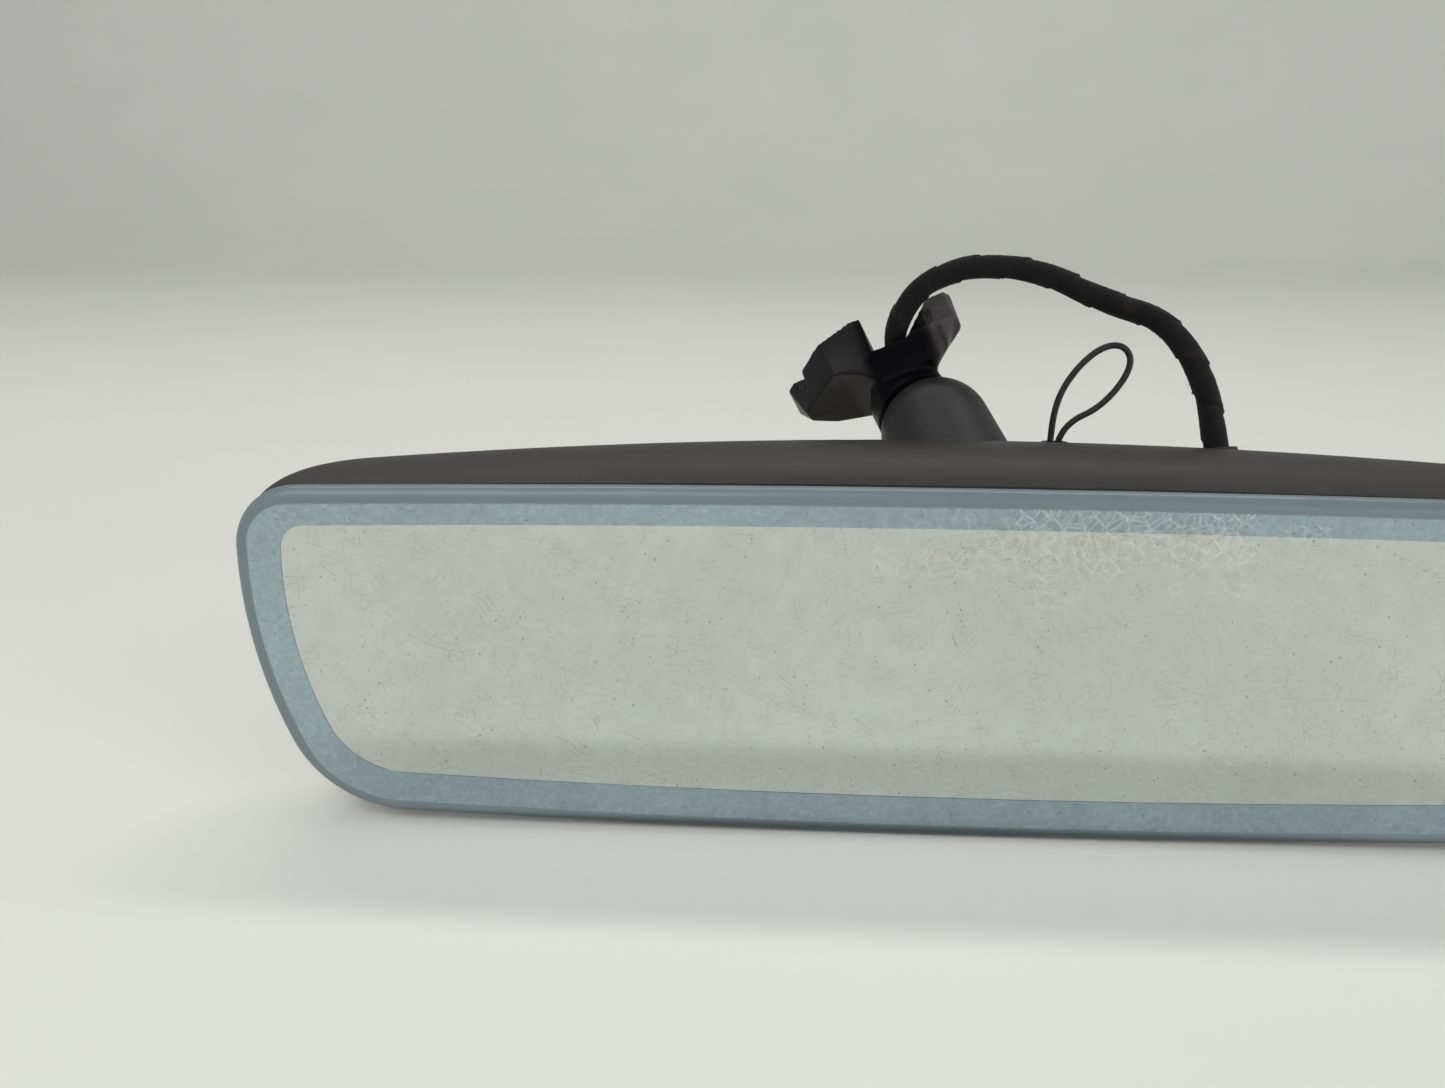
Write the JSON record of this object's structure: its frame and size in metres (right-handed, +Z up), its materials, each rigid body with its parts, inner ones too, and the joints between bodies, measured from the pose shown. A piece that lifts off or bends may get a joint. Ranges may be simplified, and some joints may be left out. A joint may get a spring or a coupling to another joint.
{
  "type": "interior rearview mirror",
  "caption": "Frameless auto-dimming interior rearview mirror with a rear casing, ball joint, windscreen foot and taped wiring harness.",
  "frame": {"origin": "middle of the large windscreen pad's outer face, where the foot is stuck to the windscreen", "axes": "+X along the glass, to the right as the driver looks at it; +Y away from the driver, along the normal of the glass; +Z up along the height of the glass"},
  "size_m": [0.2459, 0.0672, 0.0972],
  "materials": {
    "clear_glass": "polished, ground edge",
    "ring_metal": "satin bluish metal film",
    "seal_epoxy": "matte",
    "gel": "clear",
    "mirror_coating": "mirror, slightly green",
    "foam": "matte",
    "inner_plastic": "matte",
    "board": "gloss",
    "steel": "satin",
    "component": "matte",
    "connector": "matte",
    "clear_plastic": "gloss, smoked",
    "casing_plastic": "fine grained matte",
    "rubber": "matte",
    "dome_plastic": "satin",
    "liner_plastic": "satin",
    "foot_plastic": "satin",
    "adhesive": "matte",
    "cloth_tape": "woven cloth tape",
    "wire_sleeve": "matte",
    "contact_metal": "satin"
  },
  "bodies": {
    "mount": {"mount_bracket": "foot_plastic", "windscreen_pads": "adhesive", "ball_stud": "steel", "harness_clip": "foot_plastic", "harness_plug": "connector", "plug_latch": "connector", "plug_contacts": "contact_metal", "harness_at_foot": "cloth_tape"},
    "liner": {"ball_liner": "liner_plastic"},
    "shell": {"friction_shell": "steel", "harness_middle": "cloth_tape"},
    "head": {"front_glass": "clear_glass", "chrome_ring": "ring_metal", "cell_seal": "seal_epoxy", "dimming_gel": "gel", "mirror_element": "mirror_coating", "cell_pad": "foam", "carrier_plate": "inner_plastic", "circuit_board": "board", "board_screws": "steel", "board_components": "component", "board_socket": "connector", "board_plug": "connector", "light_guide": "clear_plastic", "glare_sensor": "component", "ambient_sensor": "component", "rear_casing": "casing_plastic", "casing_screws": "steel", "ambient_lens": "clear_plastic", "harness_grommet": "rubber", "loop_grommet": "rubber", "socket_dome": "dome_plastic", "socket_cup": "inner_plastic", "preload_spring": "steel", "socket_retainer": "inner_plastic", "reinforcement_plate": "steel", "dome_screws": "steel", "plate_screws": "steel", "harness_at_casing": "cloth_tape", "loop_wire": "wire_sleeve"}
  },
  "joints": [
    {"name": "spin", "type": "hinge", "parent": "mount", "child": "liner", "pos_m": [0.01765, -0.01951, -0.00558], "axis": [-0.4264, 0.8229, 0.3755], "range_deg": [-20, 20], "deforming": ["harness_at_foot"]},
    {"name": "tilt", "type": "hinge", "parent": "liner", "child": "shell", "pos_m": [0.01765, -0.01951, -0.00558], "axis": [1, 0, 0], "range_deg": [-15, 15], "deforming": ["harness_middle"]},
    {"name": "turn", "type": "hinge", "parent": "shell", "child": "head", "pos_m": [0.01765, -0.01951, -0.00558], "axis": [0, 0, 1], "range_deg": [-20, 20], "deforming": ["harness_at_casing"]}
  ]
}
